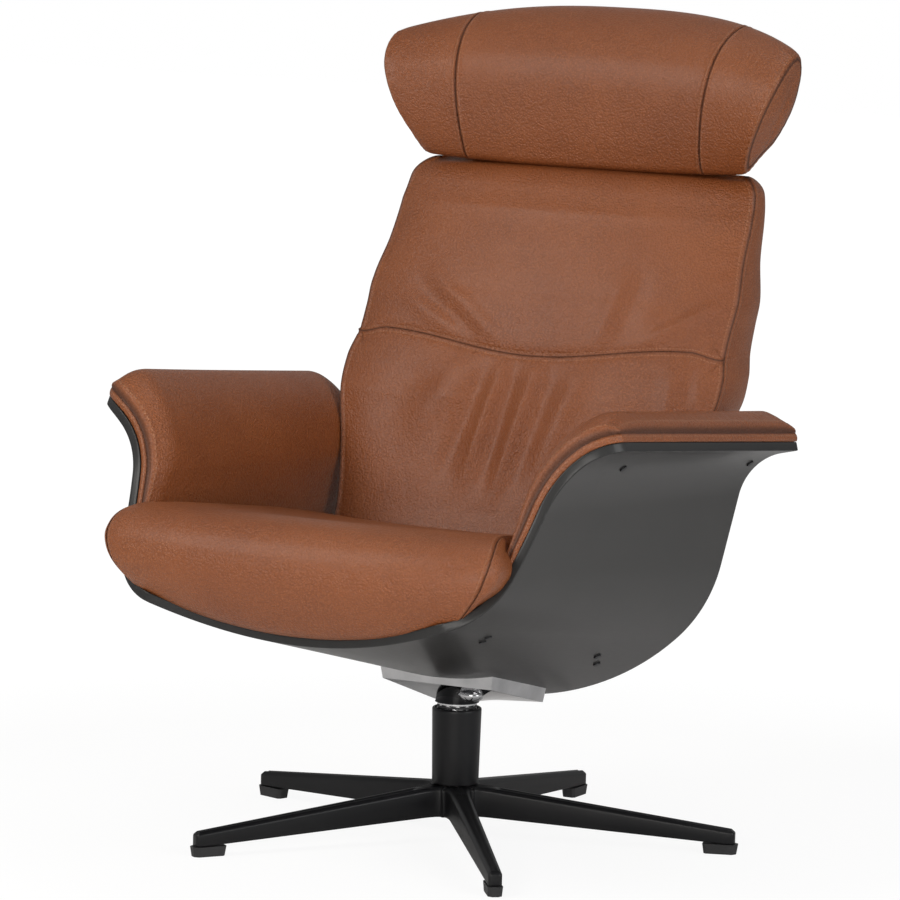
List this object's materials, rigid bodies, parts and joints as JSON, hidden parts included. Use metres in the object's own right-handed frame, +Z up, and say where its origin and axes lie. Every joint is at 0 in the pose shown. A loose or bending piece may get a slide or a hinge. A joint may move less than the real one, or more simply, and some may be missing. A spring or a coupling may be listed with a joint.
{
  "type": "swivel recliner",
  "caption": "Swivel recliner with a moulded plywood shell, padded leather seat, arms, back and adjustable headrest, on a star base with a turning column.",
  "frame": {"origin": "on the floor, on the swivel axis", "axes": "+Z up, the chair faces -Y, +X to the sitter's left"},
  "size_m": [0.7506, 0.9568, 1.072],
  "materials": {
    "black_casting": "satin black",
    "glide": "matte black",
    "bush": "moulded",
    "steel": "bright ground",
    "black_screw": "black",
    "polished_aluminium": "polished",
    "stained_ply": "dark stain, satin lacquer",
    "board": "plain ply",
    "leather": "cognac, full grain, pebbled"
  },
  "bodies": {
    "base": {"star_base": "black_casting", "foot_glide_1": "glide", "foot_glide_2": "glide", "foot_glide_3": "glide", "foot_glide_4": "glide", "foot_glide_5": "glide", "column_tube": "black_casting", "column_bush_upper": "bush", "column_bush_lower": "bush", "bearing_race_lower": "steel"},
    "seat": {"swivel_post": "steel", "retaining_ring": "steel", "bearing_rollers": "steel", "bearing_cage": "bush", "bearing_race_upper": "steel", "post_collar": "black_casting", "seat_bracket": "polished_aluminium", "bracket_cap": "steel", "bracket_screws": "steel", "shell": "stained_ply", "front_fitting_screws": "black_screw", "pivot_bracket_screws": "black_screw", "arm_screws": "black_screw", "arm_pad_left": "leather", "arm_pad_right": "leather", "seat_cushion": "leather", "seat_board": "board", "seat_rail_front": "black_casting", "seat_rail_rear": "black_casting", "pivot_bracket_left": "black_casting", "pivot_bracket_right": "black_casting", "pivot_bolt_left": "steel", "pivot_bolt_right": "steel", "pivot_nut_left": "steel", "pivot_nut_right": "steel", "pivot_washer_left": "steel", "pivot_washer_right": "steel"},
    "back": {"back_frame": "black_casting", "back_cushion": "leather", "back_cover": "leather", "pivot_bush_left": "bush", "pivot_bush_right": "bush", "headrest_sleeve_left": "bush", "headrest_sleeve_right": "bush"},
    "carriage": {"headrest_stay_left": "steel", "headrest_stay_right": "steel", "headrest_rod": "steel"},
    "headrest": {"headrest_board": "board", "headrest_cushion": "leather"}
  },
  "joints": [
    {"name": "swivel", "type": "hinge", "parent": "base", "child": "seat", "pos_m": [0, 0, 0], "axis": [0, 0, 1], "continuous": true},
    {"name": "recline", "type": "hinge", "parent": "seat", "child": "back", "pos_m": [0, 0.15, 0.33], "axis": [-1, 0, 0], "range_deg": [0, 20]},
    {"name": "headrest_slide", "type": "slide", "parent": "back", "child": "carriage", "axis": [0, 0.3387, 0.9409], "range_m": [0, 0.06]},
    {"name": "headrest_tilt", "type": "hinge", "parent": "carriage", "child": "headrest", "pos_m": [0, 0.3473, 0.878], "axis": [1, 0, 0], "range_deg": [0, 12]}
  ]
}
